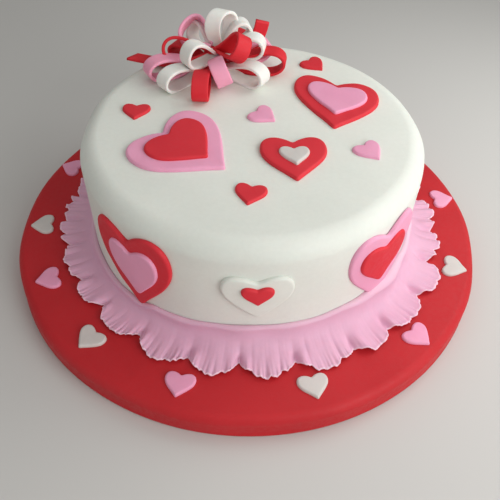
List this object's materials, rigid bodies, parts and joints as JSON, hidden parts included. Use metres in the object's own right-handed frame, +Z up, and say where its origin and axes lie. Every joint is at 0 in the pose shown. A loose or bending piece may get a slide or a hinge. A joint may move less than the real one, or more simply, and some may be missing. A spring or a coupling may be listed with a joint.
{
  "type": "fondant cake",
  "caption": "Round white fondant cake on a red iced base, with a pink sugar-paste frill round its foot, cut-out hearts on the top, side and base, and a bow of red, pink and white loops.",
  "frame": {"origin": "middle of the iced base's underside, on the table", "axes": "+Z up, -Y towards the front of the cake, where the single white and red heart stands, +X to the right"},
  "size_m": [0.312, 0.312, 0.1357],
  "materials": {
    "white_icing": "satin white fondant, standing in for icing",
    "pink_icing": "satin pink sugar paste",
    "red_icing": "satin red sugar paste"
  },
  "bodies": {
    "root": {"base_icing": "red_icing", "cake_icing": "white_icing", "top_heart_1": "red_icing", "top_heart_1_inner": "pink_icing", "top_heart_2": "pink_icing", "top_heart_2_inner": "red_icing", "top_heart_3": "red_icing", "top_heart_3_inner": "white_icing", "top_heart_4": "red_icing", "top_heart_5": "pink_icing", "top_heart_6": "pink_icing", "top_heart_7": "red_icing", "top_heart_8": "red_icing", "frill": "pink_icing", "side_heart_1": "red_icing", "side_heart_1_inner": "pink_icing", "side_heart_2": "white_icing", "side_heart_2_inner": "red_icing", "side_heart_3": "pink_icing", "side_heart_3_inner": "red_icing", "side_heart_4": "white_icing", "side_heart_5": "red_icing", "side_heart_6": "white_icing", "side_heart_7": "pink_icing", "side_heart_8": "white_icing", "base_heart_1": "pink_icing", "base_heart_2": "white_icing", "base_heart_3": "pink_icing", "base_heart_4": "white_icing", "base_heart_5": "pink_icing", "base_heart_6": "white_icing", "base_heart_7": "pink_icing", "base_heart_8": "white_icing", "base_heart_9": "pink_icing", "base_heart_10": "white_icing", "base_heart_11": "pink_icing", "base_heart_12": "white_icing", "base_heart_13": "pink_icing", "base_heart_14": "white_icing", "bow_pad": "red_icing", "bow_loop_lower_left": "white_icing", "bow_loop_lower_front": "red_icing", "bow_loop_lower_right": "white_icing", "bow_loop_far_left": "pink_icing", "bow_loop_far_right": "red_icing", "bow_loop_back_right": "pink_icing", "bow_loop_back": "red_icing", "bow_loop_back_middle": "white_icing", "bow_loop_back_left": "red_icing", "bow_loop_front": "pink_icing", "bow_loop_mid_left": "red_icing", "bow_loop_mid_front_left": "white_icing", "bow_loop_mid_front_right": "red_icing", "bow_loop_mid_right": "white_icing", "bow_loop_high_right": "white_icing", "bow_loop_high_back": "white_icing", "bow_loop_high_left": "pink_icing", "bow_loop_top": "white_icing", "bow_tail_left": "red_icing", "bow_tail_right": "red_icing"}
  },
  "joints": []
}
